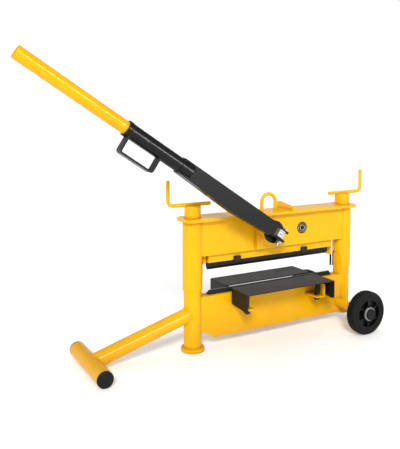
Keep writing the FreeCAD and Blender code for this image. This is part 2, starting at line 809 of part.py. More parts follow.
def grab_handle():
    """Flat bar bent into a U under the socket."""
    x0, x1 = pivot_x - grab_span[1], pivot_x - grab_span[0]
    low, half = pivot_z - grab_drop, grab_width / 2.0
    outer = box(x0, x1, tube_y - half, tube_y + half, low, pivot_z)
    inner = box(x0 + grab_bar, x1 - grab_bar, tube_y - half, tube_y + half, low + grab_bar, pivot_z)
    outer = outer.makeFillet(grab_bend, edges_at(outer, "Z", low, "Y"))
    inner = inner.makeFillet(grab_bend - grab_bar, edges_at(inner, "Z", low + grab_bar, "Y"))
    tube_space = rod(socket_radius, (pivot_x - socket_end, tube_y, pivot_z), (pivot_x, tube_y, pivot_z))
    return raised(cut(outer, [inner, tube_space]))


def handle_extension():
    return raised(tube(handle_radius, handle_radius - handle_wall, (pivot_x - handle_end, tube_y, pivot_z),
                       (pivot_x - handle_inner_end, tube_y, pivot_z)))


# ---------------------------------------------------------------- cranks
def crank_parts():
    """Crank rod, hub and spindle on the right; the left ones are their mirror images."""
    x, grip_x = right_x, right_x + crank_reach
    rod_line = [(x - crank_tail, 0, crank_z), (grip_x, 0, crank_z), (grip_x, 0, crank_z + grip_height)]
    bar = bent_rod(crank_rod, rod_line, crank_bend)
    top = plate_top + spindle_in_hub
    collar_top = plate_bottom - hub_gap
    spindle = fuse([rod(spindle_radius, (x, 0, top - spindle_length), (x, 0, top)),
                    rod(collar_radius, (x, 0, collar_top - collar_height), (x, 0, collar_top))])
    hub = rod(crank_hub_radius, (x, 0, plate_top + hub_gap), (x, 0, hub_top))
    hub = hub.makeFillet(2.0, edges_at(hub, "Z", hub_top))
    groove = rod(crank_rod, (x - crank_tail, 0, crank_z), (x + crank_tail, 0, crank_z))
    return bar, cut(hub, [spindle, groove]), spindle


# ---------------------------------------------------------------- every sub-part, by name
def all_parts():
    left_column, right_column = columns()
    wheel_axle, axle_end_caps = axle_and_caps()
    parts = {
        "left_column": left_column,
        "right_column": right_column,
        "column_foot": column_foot(),
        "lower_beam": lower_beam(),
        "blade_seat": blade_seat(),
        "lower_blade": lower_blade(),
        "blade_set_screws": group(set_screws()),
        "outrigger_tube": outrigger_tube(),
        "foot_cross_tube": foot_cross_tube(),
        "foot_end_caps": foot_end_caps(),
        "table_brackets": table_brackets(),
        "axle_tube": axle_tube(),
        "wheel_axle": wheel_axle,
        "axle_end_caps": axle_end_caps,
        "spindle_nuts": spindle_nuts(),
        "left_sleeve": sleeve(left_x, 1),
        "right_sleeve": sleeve(right_x, -1),
        "top_plate": top_plate(),
        "front_cheek": cheek(-1, housing_radius),
        "rear_cheek": cheek(1, bush_radius),
        "pivot_doubler": pivot_doubler(),
        "shaft_housing": shaft_housing(),
        "shaft_bushes": shaft_bushes(),
        "lifting_eye": lifting_eye(),
        "top_rib": top_rib(),
        "beam_guides": beam_guides(),
        "gap_scale": gap_scale(),
        "blade_beam": blade_beam(),
        "upper_blade": upper_blade(),
        "blade_clamp_bolts": blade_clamp_bolts(),
        "return_springs": return_springs(),
        "eccentric_shaft": eccentric_shaft(),
        "eccentric_cam": eccentric_cam(),
        "shaft_clip": shaft_clip(),
        "thrust_disc": thrust_disc(),
        "clamp_fork": clamp_fork(),
        "clamp_bolt": clamp_bolt(),
        "lever_arm": lever_arm(),
        "lever_socket": lever_socket(),
        "handle_lock_screw": handle_lock_screw(),
        "grab_handle": grab_handle(),
        "handle_extension": handle_extension(),
    }
    for name, shape in (("table", front_table()), ("table_studs", front_table_studs()),
                        ("table_springs", front_table_springs()), ("wheel_tyre", front_tyre()),
                        ("wheel_rim", front_rim()), ("wheel_bearings", front_bearings())):
        parts["front_" + name] = shape
        parts["rear_" + name] = mirror_y(shape)
    for name, shape in zip(("crank_rod", "crank_hub", "spindle"), crank_parts()):
        parts["right_" + name] = shape
        parts["left_" + name] = mirror_x(shape)
    return parts


os.makedirs("parts", exist_ok=True)
for name, shape in all_parts().items():
    shape.exportStep(os.path.join("parts", name + ".step"))
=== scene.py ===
# %% [markdown]
# # A block splitter, finished and lit
# The steel frame, lever, blades and wheels come in as finished solids. This file
# adds what a paint shop and a welder leave behind: powder coat, weld beads, turned
# rings, threads, a badge and a scale. Then it sets up a plain studio.

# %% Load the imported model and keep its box
import json
import math

import bmesh
import bpy
from mathutils import Matrix, Vector


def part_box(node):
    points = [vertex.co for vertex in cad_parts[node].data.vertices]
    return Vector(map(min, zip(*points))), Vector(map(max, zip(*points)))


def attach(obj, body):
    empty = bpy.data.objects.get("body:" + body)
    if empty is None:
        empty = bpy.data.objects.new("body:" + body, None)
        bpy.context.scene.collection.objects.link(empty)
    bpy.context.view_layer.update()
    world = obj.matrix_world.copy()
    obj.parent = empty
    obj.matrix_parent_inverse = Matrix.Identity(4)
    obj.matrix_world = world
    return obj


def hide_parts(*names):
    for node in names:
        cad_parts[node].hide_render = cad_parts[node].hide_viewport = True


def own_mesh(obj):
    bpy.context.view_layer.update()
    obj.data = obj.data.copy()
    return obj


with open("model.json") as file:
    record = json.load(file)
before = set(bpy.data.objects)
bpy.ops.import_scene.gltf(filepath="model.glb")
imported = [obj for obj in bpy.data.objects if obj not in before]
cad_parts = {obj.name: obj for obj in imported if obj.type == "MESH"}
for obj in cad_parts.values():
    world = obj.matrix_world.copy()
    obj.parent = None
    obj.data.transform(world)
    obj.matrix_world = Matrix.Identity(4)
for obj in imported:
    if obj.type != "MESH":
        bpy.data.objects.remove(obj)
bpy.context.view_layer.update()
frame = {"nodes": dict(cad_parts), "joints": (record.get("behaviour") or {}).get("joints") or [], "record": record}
MM = 0.001

# %% [markdown]
# ## Colours and nodes
# Paint charts give colours as sRGB hex, while the renderer works in linear light, so
# one function does the change. A second small function adds a shader node with its
# settings and wires, which keeps each finish readable as a short list.


# %% Helpers for materials
def colour(hex_code):
    """sRGB hex to linear RGBA."""
    parts = [int(hex_code[i : i + 2], 16) / 255 for i in (1, 3, 5)]
    linear = [p / 12.92 if p <= 0.04045 else ((p + 0.055) / 1.055) ** 2.4 for p in parts]
    return (*linear, 1.0)


def material(name):
    """A new material and its main shader."""
    finish = bpy.data.materials.new(name)
    finish.use_nodes = True
    return finish, finish.node_tree.nodes["Principled BSDF"]


def add(finish, kind, values=None, wires=None, **settings):
    """Adds one node: its settings, the values on its inputs, and the wires into them."""
    made = finish.node_tree.nodes.new(kind)
    for key, value in settings.items():
        setattr(made, key, value)
    for key, value in (values or {}).items():
        made.inputs[key].default_value = value
    for key, source in (wires or {}).items():
        finish.node_tree.links.new(source, made.inputs[key])
    return made


def join(finish, source, target):
    """Wires an output to an input that already exists."""
    finish.node_tree.links.new(source, target)


# %% [markdown]
# ## Yellow powder coat
# The frame is mild steel, sprayed with dry polyester powder and baked. The melt
# levels into a hard semi-gloss skin with a faint orange-peel ripple, a little thicker
# and deeper in some places, with dull patches where hands and straps have rubbed.
# Peel is about 2 mm across on the real skin; it is drawn at 6 mm so that it shows.

# %% Yellow powder coat
PEEL = 1 / (6 * MM)
CLOUD = 1 / (110 * MM)


def powder_coat(name, main, deep, painted_shade_colour, rough, peel_height):
    """Baked powder coat: two close tones, painted shade in creases and near the ground, uneven gloss and orange
    peel.
    """
    finish, skin = material(name)
    place = add(finish, "ShaderNodeTexCoord").outputs["Object"]
    cloud = add(finish, "ShaderNodeTexNoise", {"Scale": CLOUD, "Detail": 3.0, "Roughness": 0.55},
                {"Vector": place})
    shade = add(finish, "ShaderNodeValToRGB", wires={"Fac": cloud.outputs["Fac"]})
    shade.color_ramp.elements[0].position, shade.color_ramp.elements[0].color = 0.32, colour(deep)
    shade.color_ramp.elements[1].position, shade.color_ramp.elements[1].color = 0.62, colour(main)
    # Painted shade: within about 12 mm of corners and joints the colour darkens towards the shade colour, where
    # shade falls.
    corner_occlusion = add(finish, "ShaderNodeAmbientOcclusion", {"Distance": 12 * MM}, samples=6)
    painted_shade_mask = add(finish, "ShaderNodeMapRange", {"From Min": 0.25, "From Max": 0.85},
                {"Value": corner_occlusion.outputs["AO"]})
    corner_shaded = add(finish, "ShaderNodeMix",
               wires={"Factor": painted_shade_mask.outputs["Result"], 7: shade.outputs["Color"]}, data_type="RGBA")
    corner_shaded.inputs[6].default_value = colour(painted_shade_colour)
    # Painted shade: the coat darkens towards the ground, from about 140 mm down to 30 mm.
    height = add(finish, "ShaderNodeSeparateXYZ", wires={"Vector": place}).outputs["Z"]
    # Painted shade mask by height: the lower, the more shade.
    low = add(finish, "ShaderNodeMapRange",
              {"From Min": 0.14, "From Max": 0.03, "To Min": 0.0, "To Max": 0.35}, {"Value": height})
    low_shaded = add(finish, "ShaderNodeMix", wires={"Factor": low.outputs["Result"], 6: corner_shaded.outputs[2]},
                data_type="RGBA")
    low_shaded.inputs[7].default_value = colour(painted_shade_colour)
    join(finish, low_shaded.outputs[2], skin.inputs["Base Color"])
    rub = add(finish, "ShaderNodeTexNoise", {"Scale": 1 / (28 * MM), "Detail": 5.0, "Roughness": 0.7},
              {"Vector": place})
    gloss = add(finish, "ShaderNodeMapRange",
                {"From Min": 0.35, "From Max": 0.7, "To Min": rough - 0.05, "To Max": rough + 0.12},
                {"Value": rub.outputs["Fac"]})
    join(finish, gloss.outputs["Result"], skin.inputs["Roughness"])
    peel = add(finish, "ShaderNodeTexNoise", {"Scale": PEEL, "Detail": 1.5}, {"Vector": place})
    bump = add(finish, "ShaderNodeBump", {"Strength": 0.35, "Distance": peel_height},
               {"Height": peel.outputs["Fac"]})
    join(finish, bump.outputs["Normal"], skin.inputs["Normal"])
    skin.inputs["IOR"].default_value = 1.5
    return finish, skin


# The third colour is the painted shade for corners, joints and the ground.
yellow_coat, skin = powder_coat("polyester_powder_coat_yellow", "#F4B800", "#EFB100", "#A86E00", 0.4,
                                0.3 * MM)
skin.inputs["Specular IOR Level"].default_value = 0.22
skin.inputs["Specular Tint"].default_value = colour("#FFE28A")
skin.inputs["Coat Weight"].default_value = 0.3
skin.inputs["Coat Roughness"].default_value = 0.1
print("made", yellow_coat.name)

# %% [markdown]
# ## Black powder coat
# The lever, its socket and the grab handle have the same coat in black. It is a
# little duller, so a long soft streak runs down the tube and the flat web stays grey.

# %% Black powder coat
# The third colour is the painted shade for corners, joints and the ground.
black_coat, skin = powder_coat("polyester_powder_coat_black", "#0C0C0C", "#090909", "#050505", 0.4, 0.3 * MM)
skin.inputs["Specular IOR Level"].default_value = 0.12
skin.inputs["Coat Weight"].default_value = 0.3
skin.inputs["Coat Roughness"].default_value = 0.1
print("made", black_coat.name)

# %% [markdown]
# ## Table plates
# The two folded tables carry the stone. Stone dust settles on their tops and is
# rubbed into the coat, so faces that look up are a warm grey brown, with scratches
# along the way blocks are pushed, while the folded sides stay black.

# %% Table plates
table_coat, skin = material("black_coat_with_stone_dust")
place = add(table_coat, "ShaderNodeTexCoord").outputs["Object"]
facing = add(table_coat, "ShaderNodeNewGeometry").outputs["Normal"]
upward = add(table_coat, "ShaderNodeSeparateXYZ", wires={"Vector": facing}).outputs["Z"]
lies_flat = add(table_coat, "ShaderNodeMapRange", {"From Min": 0.6, "From Max": 0.95},
                {"Value": upward}).outputs["Result"]
patches = add(table_coat, "ShaderNodeTexNoise",
              {"Scale": 1 / (45 * MM), "Detail": 6.0, "Roughness": 0.65}, {"Vector": place})
dust = add(table_coat, "ShaderNodeMapRange",
           {"From Min": 0.25, "From Max": 0.75, "To Min": 0.55, "To Max": 1.0},
           {"Value": patches.outputs["Fac"]}).outputs["Result"]
cover = add(table_coat, "ShaderNodeMath", wires={0: lies_flat, 1: dust},
            operation="MULTIPLY").outputs["Value"]
tint = add(table_coat, "ShaderNodeMix", wires={"Factor": cover}, data_type="RGBA")
tint.inputs[6].default_value, tint.inputs[7].default_value = colour("#100F0E"), colour("#3B3733")
skin.inputs["Specular IOR Level"].default_value = 0.3
join(table_coat, tint.outputs[2], skin.inputs["Base Color"])
# Rubbed streaks are under 1 mm wide on the plate and run along it; they are drawn 5 mm wide.
along = add(table_coat, "ShaderNodeMapping", {"Scale": (1 / (90 * MM), 1 / (5 * MM), 1 / (60 * MM))},
            {"Vector": place})
scratch = add(table_coat, "ShaderNodeTexNoise", {"Scale": 1.0, "Detail": 3.0},
              {"Vector": along.outputs["Vector"]})
gloss = add(table_coat, "ShaderNodeMapRange",
            {"From Min": 0.3, "From Max": 0.7, "To Min": 0.46, "To Max": 0.58},
            {"Value": scratch.outputs["Fac"]})
join(table_coat, gloss.outputs["Result"], skin.inputs["Roughness"])
bump = add(table_coat, "ShaderNodeBump", {"Strength": 0.1, "Distance": 0.1 * MM},
           {"Height": scratch.outputs["Fac"]})
join(table_coat, bump.outputs["Normal"], skin.inputs["Normal"])
print("made", table_coat.name)

# %% [markdown]
# ## Blades
# Both blades are hardened tool steel, blackened in hot oil, and only the cutting
# edge is ground bright. A height mask on the blade's own coordinates paints that
# ground band, and a ragged noise breaks it where stone has chipped the oxide.


# %% Blades
def blade_finish(name, edge_z, band):
    """Oil-blackened tool steel with a ground band next to its edge."""
    finish, skin = material(name)
    place = add(finish, "ShaderNodeTexCoord").outputs["Object"]
    height = add(finish, "ShaderNodeSeparateXYZ", wires={"Vector": place}).outputs["Z"]
    wear = add(finish, "ShaderNodeTexNoise", {"Scale": 1 / (9 * MM), "Detail": 6.0, "Roughness": 0.7},
               {"Vector": place})
    ragged = add(finish, "ShaderNodeMath", {1: abs(band) * 0.9}, {0: wear.outputs["Fac"]},
                 operation="MULTIPLY")
    level = add(finish, "ShaderNodeMath", wires={0: height, 1: ragged.outputs["Value"]}, operation="SUBTRACT")
    ground = add(finish, "ShaderNodeMapRange",
                 {"From Min": edge_z - 1.3 * band,
                  "From Max": edge_z - 0.8 * band}, {"Value": level.outputs["Value"]})
    tint = add(finish, "ShaderNodeMix", wires={"Factor": ground.outputs["Result"]}, data_type="RGBA")
    tint.inputs[6].default_value, tint.inputs[7].default_value = colour("#0C0C0C"), colour("#77736B")
    skin.inputs["Specular IOR Level"].default_value = 0.2
    join(finish, tint.outputs[2], skin.inputs["Base Color"])
    join(finish, ground.outputs["Result"], skin.inputs["Metallic"])
    gloss = add(finish, "ShaderNodeMapRange", {"To Min": 0.42, "To Max": 0.6}, {"Value": wear.outputs["Fac"]})
    join(finish, gloss.outputs["Result"], skin.inputs["Roughness"])
    bump = add(finish, "ShaderNodeBump", {"Strength": 0.25, "Distance": 0.2 * MM},
               {"Height": wear.outputs["Fac"]})
    join(finish, bump.outputs["Normal"], skin.inputs["Normal"])
    return finish


lower_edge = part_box("lower_blade")[1].z
upper_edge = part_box("upper_blade")[0].z
lower_blade_steel = blade_finish("blackened_tool_steel_lower", lower_edge, 0.9 * MM)
upper_blade_steel = blade_finish("blackened_tool_steel_upper", upper_edge, -0.5 * MM)
print("ground edges at", round(lower_edge, 4), "and", round(upper_edge, 4))

# %% [markdown]
# ## Bare and blackened steel, bronze
# Shafts and studs are turned on a lathe and left bright: fine rings catch the light
# as short streaks. Screws, nuts and the table springs are black-oxide steel, darker
# and slightly oily. The spindle nuts and bushes are sintered bronze, warmer and duller.


# %% Metals
def machined(name, light, dark, rough, metal, grain):
    """Turned or wire-drawn metal: fine close streaks in colour and gloss."""
    finish, skin = material(name)
    place = add(finish, "ShaderNodeTexCoord").outputs["Object"]
    # Turning marks are about 0.2 mm apart; they are drawn coarser, as grain says.
    marks = add(finish, "ShaderNodeTexNoise", {"Scale": 1 / grain, "Detail": 4.0, "Roughness": 0.6},
                {"Vector": place})
    stain = add(finish, "ShaderNodeTexNoise", {"Scale": 1 / (14 * MM), "Detail": 3.0}, {"Vector": place})
    shade = add(finish, "ShaderNodeValToRGB", wires={"Fac": stain.outputs["Fac"]})
    shade.color_ramp.elements[0].position, shade.color_ramp.elements[0].color = 0.35, colour(dark)
    shade.color_ramp.elements[1].position, shade.color_ramp.elements[1].color = 0.65, colour(light)
    join(finish, shade.outputs["Color"], skin.inputs["Base Color"])
    gloss = add(finish, "ShaderNodeMapRange",
                {"From Min": 0.3, "From Max": 0.7, "To Min": rough - 0.08, "To Max": rough + 0.1},
                {"Value": marks.outputs["Fac"]})
    join(finish, gloss.outputs["Result"], skin.inputs["Roughness"])
    bump = add(finish, "ShaderNodeBump", {"Strength": 0.3, "Distance": 0.1 * MM},
               {"Height": marks.outputs["Fac"]})
    join(finish, bump.outputs["Normal"], skin.inputs["Normal"])
    skin.inputs["Metallic"].default_value = metal
    return finish


bright_steel = machined("turned_steel_bright", "#C9C6C0", "#9E9A93", 0.3, 1.0, 1.2 * MM)
oxide_steel = machined("black_oxide_steel", "#1E1D1C", "#121212", 0.42, 0.5, 1.0 * MM)
bronze = machined("sintered_bronze", "#B08B55", "#8A6A3C", 0.42, 1.0, 1.0 * MM)
print("made", bright_steel.name, oxide_steel.name, bronze.name)

# %% [markdown]
# ## Rubber and plastics
# The tyres are solid rubber pressed in a mould: matt, slightly brown with dust, and
# ringed by fine mould lines. The rims are glass-filled nylon with a low sheen, the
# bearing rings are pale acetal, and the caps are matt polyethylene with moulded grain.


# %% Rubber and plastics
def moulded(name, light, dark, rough, grain, height):
    """Moulded rubber or plastic: eroded grain from the mould and uneven dust."""
    finish, skin = material(name)
    place = add(finish, "ShaderNodeTexCoord").outputs["Object"]
    dust = add(finish, "ShaderNodeTexNoise", {"Scale": 1 / (22 * MM), "Detail": 5.0, "Roughness": 0.65},
               {"Vector": place})
    shade = add(finish, "ShaderNodeValToRGB", wires={"Fac": dust.outputs["Fac"]})
    shade.color_ramp.elements[0].position, shade.color_ramp.elements[0].color = 0.4, colour(dark)
    shade.color_ramp.elements[1].position, shade.color_ramp.elements[1].color = 0.75, colour(light)
    join(finish, shade.outputs["Color"], skin.inputs["Base Color"])
    gloss = add(finish, "ShaderNodeMapRange",
                {"From Min": 0.3, "From Max": 0.7, "To Min": rough - 0.05, "To Max": rough + 0.08},
                {"Value": dust.outputs["Fac"]})
    join(finish, gloss.outputs["Result"], skin.inputs["Roughness"])
    pits = add(finish, "ShaderNodeTexVoronoi", {"Scale": 1 / grain}, {"Vector": place})
    bump = add(finish, "ShaderNodeBump", {"Strength": 0.3, "Distance": height},
               {"Height": pits.outputs["Distance"]})
    join(finish, bump.outputs["Normal"], skin.inputs["Normal"])
    skin.inputs["Specular IOR Level"].default_value = 0.2
    return finish


tyre_rubber = moulded("solid_rubber_moulded", "#121110", "#090909", 0.82, 1.6 * MM, 0.15 * MM)
rim_nylon = moulded("glass_filled_nylon_black", "#0E0E0E", "#090909", 0.28, 1.5 * MM, 0.05 * MM)
cap_plastic = moulded("polyethylene_matt_black", "#0E0E0E", "#090909", 0.62, 1.4 * MM, 0.1 * MM)
bearing_acetal = moulded("acetal_pale_grey", "#A2A2A0", "#7C7C7B", 0.4, 1.5 * MM, 0.05 * MM)
pale_ink = moulded("printed_pale_ink", "#D8D5CC", "#C4C1B8", 0.5, 1.0 * MM, 0.03 * MM)
print("made", tyre_rubber.name, rim_nylon.name, cap_plastic.name, bearing_acetal.name, pale_ink.name)

# %% [markdown]
# ## Which finish goes where
# Each solid already names a finish in the record. A table turns those names into the
# materials above, and a few solids with a finish of their own come after it.

# %% Give every solid its finish
FINISHES = {
    "yellow_powder_coat": yellow_coat,
    "black_powder_coat": black_coat,
    "blade_steel": upper_blade_steel,
    "black_fasteners": oxide_steel,
    "bare_steel": bright_steel,
    "bronze": bronze,
    "black_plastic": cap_plastic,
    "tyre_rubber": tyre_rubber,
    "rim_plastic": rim_nylon,
    "bearing_plastic": bearing_acetal,
}
OWN_FINISH = {"lower_blade": lower_blade_steel, "front_table": table_coat, "rear_table": table_coat}


def coat(piece, finish):
    """Puts one finish in every material slot of a piece."""
    if not piece.material_slots:
        piece.data.materials.append(finish)
    for place in piece.material_slots:
        place.material = finish


for part in frame["record"]["subparts"]:
    name = part["node"]
    coat(frame["nodes"][name], OWN_FINISH.get(name, FINISHES[part["material_slot"]]))

# %% [markdown]
# ## Two ways to make small parts
# Beads, threads and raised rings are all a round section carried along a line, so one
# function sweeps them. Washers and badges are turned shapes, so a second one
# spins a profile about an axis. Both build plain meshes with smooth shading.


# %% Sweep and turn
def finish_piece(name, mesh, body, slot):
    """Links a mesh as a piece that rides on a body and takes that slot's finish."""
    piece = bpy.data.objects.new(name, mesh)
    bpy.context.scene.collection.objects.link(piece)
    for face in mesh.polygons:
        face.use_smooth = True
    coat(piece, FINISHES[slot])
    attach(piece, body)
    return piece


def swept(bm, points, radius, closed=False, ripple=0.0, pitch=2.5 * MM, sides=8):
    """Adds a round section carried along points; ripple gives it the scales of a weld."""
    count, rings, travelled = len(points), [], 0.0
    side = None
    for i, point in enumerate(points):
        before = points[i - 1] if i or closed else point
        after = points[(i + 1) % count] if i < count - 1 or closed else point
        along = (after - before).normalized()
        if side is None:
            side = along.orthogonal().normalized()
        side = (side - along * side.dot(along)).normalized()
        up = along.cross(side)
        if i:
            travelled += (point - points[i - 1]).length
        here = radius * (1 + ripple * abs(math.sin(math.pi * travelled / pitch)))
        turn = [2 * math.pi * k / sides for k in range(sides)]
        rings.append([bm.verts.new(point + here * (math.cos(a) * side + math.sin(a) * up)) for a in turn])
    pairs = list(zip(rings, rings[1:])) + ([(rings[-1], rings[0])] if closed else [])
    for one, two in pairs:
        for k in range(sides):
            m = (k + 1) % sides
            bm.faces.new((one[k], one[m], two[m], two[k]))
    if not closed:
        bm.faces.new(rings[0][::-1])
        bm.faces.new(rings[-1])


def turned(bm, profile, centre, axis, steps=48):
    """Adds a profile of (radius, height) pairs spun about an axis through centre."""
    axis = Vector(axis).normalized()
    side = axis.orthogonal().normalized()
    up = axis.cross(side)
    rings = []
    for radius, height in profile:
        base = Vector(centre) + axis * height
        if radius < 1e-6:
            rings.append([bm.verts.new(base)])
        else:
            turn = [2 * math.pi * k / steps for k in range(steps)]
            rings.append([bm.verts.new(base + radius * (math.cos(a) * side + math.sin(a) * up)) for a in turn])
    for one, two in zip(rings, rings[1:]):
        for k in range(steps):
            m = (k + 1) % steps
            corners = [one[k % len(one)], one[m % len(one)], two[m % len(two)], two[k % len(two)]]
            corners = list(dict.fromkeys(corners))
            if len(corners) > 2:
                bm.faces.new(corners)


def make(name, body, slot, build):
    """Runs a builder on an empty mesh and finishes the result as one piece."""
    bm = bmesh.new()
    build(bm)
    bmesh.ops.recalc_face_normals(bm, faces=bm.faces)
    mesh = bpy.data.meshes.new(name)
    bm.to_mesh(mesh)
    bm.free()
    return finish_piece(name, mesh, body, slot)


def circle(centre, axis, radius, steps=96):
    """Points on a circle."""
    axis = Vector(axis).normalized()
    side = axis.orthogonal().normalized()
    up = axis.cross(side)
    turn = [2 * math.pi * k / steps for k in range(steps)]
    return [Vector(centre) + radius * (math.cos(a) * side + math.sin(a) * up) for a in turn]


def line(start, end, step=0.8 * MM):
    """Evenly spaced points from start to end."""
    start, end = Vector(start), Vector(end)
    count = max(2, round((end - start).length / step))
    return [start.lerp(end, i / count) for i in range(count + 1)]


def saddle(start, along, radius, post, post_axis, post_radius, steps=120):
    """The line where a tube that leaves a round post meets that post's surface."""
    along, post_axis = Vector(along).normalized(), Vector(post_axis).normalized()
    side = along.cross(post_axis).normalized()
    up = along.cross(side)
    points = []
    for k in range(steps):
        a = 2 * math.pi * k / steps
        base = Vector(start) + radius * (math.cos(a) * side + math.sin(a) * up) - Vector(post)
        flat = base - post_axis * base.dot(post_axis)
        run = along - post_axis * along.dot(post_axis)
        qa, qb, qc = run.dot(run), 2 * flat.dot(run), flat.dot(flat) - post_radius**2
        root = max(0.0, qb * qb - 4 * qa * qc)
        points.append(Vector(post) + base + along * ((-qb + math.sqrt(root)) / (2 * qa)))
    return points


def middle(node):
    """Centre of a solid's box."""
    low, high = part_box(node)
    return (low + high) / 2


print("sweep and turn are ready")

# %% [markdown]
# ## Welds on the base
# The columns, beam, outrigger and brackets are joined by MIG welds, then coated, so
# each bead is a low yellow ripple with a scale about every 2.5 mm. A tube that meets
# a tube has a saddle-shaped bead, worked out from the two radii.

# %% Welds on the base
BEAD = 2.0 * MM
SCALES = 0.18      # how far the scales of a bead stand out, as a share of its radius
FINE_SCALES = 0.15
left_post, right_post = middle("left_column"), middle("right_column")
post_radius = (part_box("left_column")[1].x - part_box("left_column")[0].x) / 2
cross = middle("foot_cross_tube")
cross_radius = (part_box("foot_cross_tube")[1].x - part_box("foot_cross_tube")[0].x) / 2
leg_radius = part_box("outrigger_tube")[1].y
beam_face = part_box("lower_beam")[1].y
LEG_HEIGHT = 103 * MM      # where the axis of the leg meets the axis of the column
leg_top = Vector((left_post.x, 0, LEG_HEIGHT))
leg_line = (Vector((cross.x, 0, cross.z)) - leg_top).normalized()

# Ends of the upright beads between the beam and the left and right column.
CORNER_LOW = (54 * MM, 30 * MM)
CORNER_HIGH = 112 * MM


def base_welds(bm):
    foot_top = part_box("column_foot")[1].z
    swept(bm, circle((left_post.x, 0, foot_top), (0, 0, 1), post_radius + 0.6 * MM), BEAD, True, SCALES)
    swept(bm, saddle(leg_top, leg_line, leg_radius, left_post, (0, 0, 1), post_radius), BEAD, True, SCALES)
    swept(bm, saddle(cross, -leg_line, leg_radius, cross, (0, 1, 0), cross_radius), BEAD, True, SCALES)
    reach = math.sqrt(post_radius**2 - beam_face**2)
    for post, inward, low in ((left_post, 1, CORNER_LOW[0]), (right_post, -1, CORNER_LOW[1])):
        x = post.x + inward * reach
        for y in (-beam_face, beam_face):
            swept(bm, line((x, y, low), (x, y, CORNER_HIGH)), 1.4 * MM, ripple=SCALES)


make("welds_base", "base", "yellow_powder_coat", base_welds)
print("leg slopes", round(math.degrees(math.asin(-leg_line.z)), 1), "degrees")


# %% Welds of the table brackets and the axle tube
BRACKET_INNER = 108 * MM


def bracket_welds(bm):
    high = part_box("table_brackets")[1]
    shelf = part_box("front_table_springs")[0].z
    under = shelf - 4 * MM
    for sx in (-1, 1):
        for sy in (-1, 1):
            near, far, y = BRACKET_INNER * sx, high.x * sx, sy * (beam_face + 0.4 * MM)
            swept(bm, line((near, y, under), (far, y, under)), 1.3 * MM, ripple=SCALES)
            swept(bm, line((far, y, shelf), (far, y, high.z)), 1.3 * MM, ripple=SCALES)
    axle = middle("axle_tube")
    tube_radius = (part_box("axle_tube")[1].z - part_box("axle_tube")[0].z) / 2
    for y in (-beam_face, beam_face):
        swept(bm, circle((axle.x, y, axle.z), (0, 1, 0), tube_radius + 0.5 * MM), 1.5 * MM, True, SCALES)


make("welds_brackets", "base", "yellow_powder_coat", bracket_welds)

# %% [markdown]
# ## Welds on the bridge
# The bridge is two cheeks between two sleeves under a thick top plate. Its beads run
# up the corners between cheek and sleeve, around the sleeves, the lifting eye, the rib
# and the doubler that carries the shaft housing.

# %% Welds on the bridge
plate_low, plate_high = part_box("top_plate")
sleeve_radius = (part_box("left_sleeve")[1].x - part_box("left_sleeve")[0].x) / 2
cheek_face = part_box("front_cheek")[0].y
swing = next(j for j in frame["joints"] if j["name"] == "lever_swing")
pivot = Vector(swing["pos_m"])


def bridge_welds(bm):
    reach = math.sqrt(sleeve_radius**2 - cheek_face**2)
    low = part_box("front_cheek")[0].z
    for post, inward in ((left_post, 1), (right_post, -1)):
        for y in (cheek_face, -cheek_face):
            x = post.x + inward * reach
            swept(bm, line((x, y, low + 1 * MM), (x, y, plate_low.z)), 1.1 * MM, ripple=FINE_SCALES)
        swept(bm, circle((post.x, 0, plate_low.z), (0, 0, 1), sleeve_radius + 0.4 * MM), 1.6 * MM, True,
              SCALES)
    eye_low, eye_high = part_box("lifting_eye")
    wire = eye_high.y
    for x in (eye_low.x + wire, eye_high.x - wire):
        swept(bm, circle((x, 0, plate_high.z), (0, 0, 1), wire + 0.5 * MM, 48), 1.6 * MM, True, SCALES)
    rib_low, rib_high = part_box("top_rib")
    for x in (rib_low.x, rib_high.x):
        swept(bm, line((x, rib_low.y + 1 * MM, plate_high.z), (x, rib_high.y - 1 * MM, plate_high.z)),
              1.5 * MM, ripple=SCALES)


def doubler_welds(bm):
    low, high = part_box("pivot_doubler")
    for x in (low.x, high.x):
        swept(bm, line((x, cheek_face, low.z), (x, cheek_face, high.z)), 1.2 * MM, ripple=FINE_SCALES)
    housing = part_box("shaft_housing")
    radius = (housing[1].x - housing[0].x) / 2
    swept(bm, circle((pivot.x, low.y, pivot.z), (0, 1, 0), radius + 0.6 * MM), 1.8 * MM, True, SCALES)


make("welds_bridge", "bridge", "yellow_powder_coat", bridge_welds)
make("welds_doubler", "bridge", "yellow_powder_coat", doubler_welds)
print("pivot at", [round(v, 4) for v in pivot])

# %% [markdown]
# ## Badge and height scale
# Makers rivet a round plate to the cheek. This one is plain: a black disc with a
# raised rim and the outline of a hexagon nut in pale ink. Beside the right sleeve a
# dark strip carries bare tick marks every 10 mm, longer every 50, to read the gap.

# %% Badge and height scale
BADGE_RADIUS, RING_RADIUS, NUT_RADIUS = 17 * MM, 13.4 * MM, 8.6 * MM
badge_at = Vector((89.4 * MM, cheek_face, 305.2 * MM))


def badge_plate(bm):
    radius = BADGE_RADIUS
    profile = [(0, 0.9 * MM), (radius - 2.2 * MM, 0.9 * MM), (radius - 1.6 * MM, 1.3 * MM),
               (radius - 0.4 * MM, 1.3 * MM), (radius, 0.9 * MM), (radius, -0.2 * MM), (0, -0.2 * MM)]
    turned(bm, profile, badge_at, (0, -1, 0), 64)


def badge_marks(bm):
    face = badge_at + Vector((0, -1.0 * MM, 0))
    swept(bm, circle(face, (0, 1, 0), RING_RADIUS, 72), 0.5 * MM, True)
    corners = circle(face, (0, 1, 0), NUT_RADIUS, 6)
    outline = [p for a, b in zip(corners, corners[1:] + corners[:1]) for p in line(a, b, 1.2 * MM)[:-1]]
    swept(bm, outline, 0.8 * MM, True)


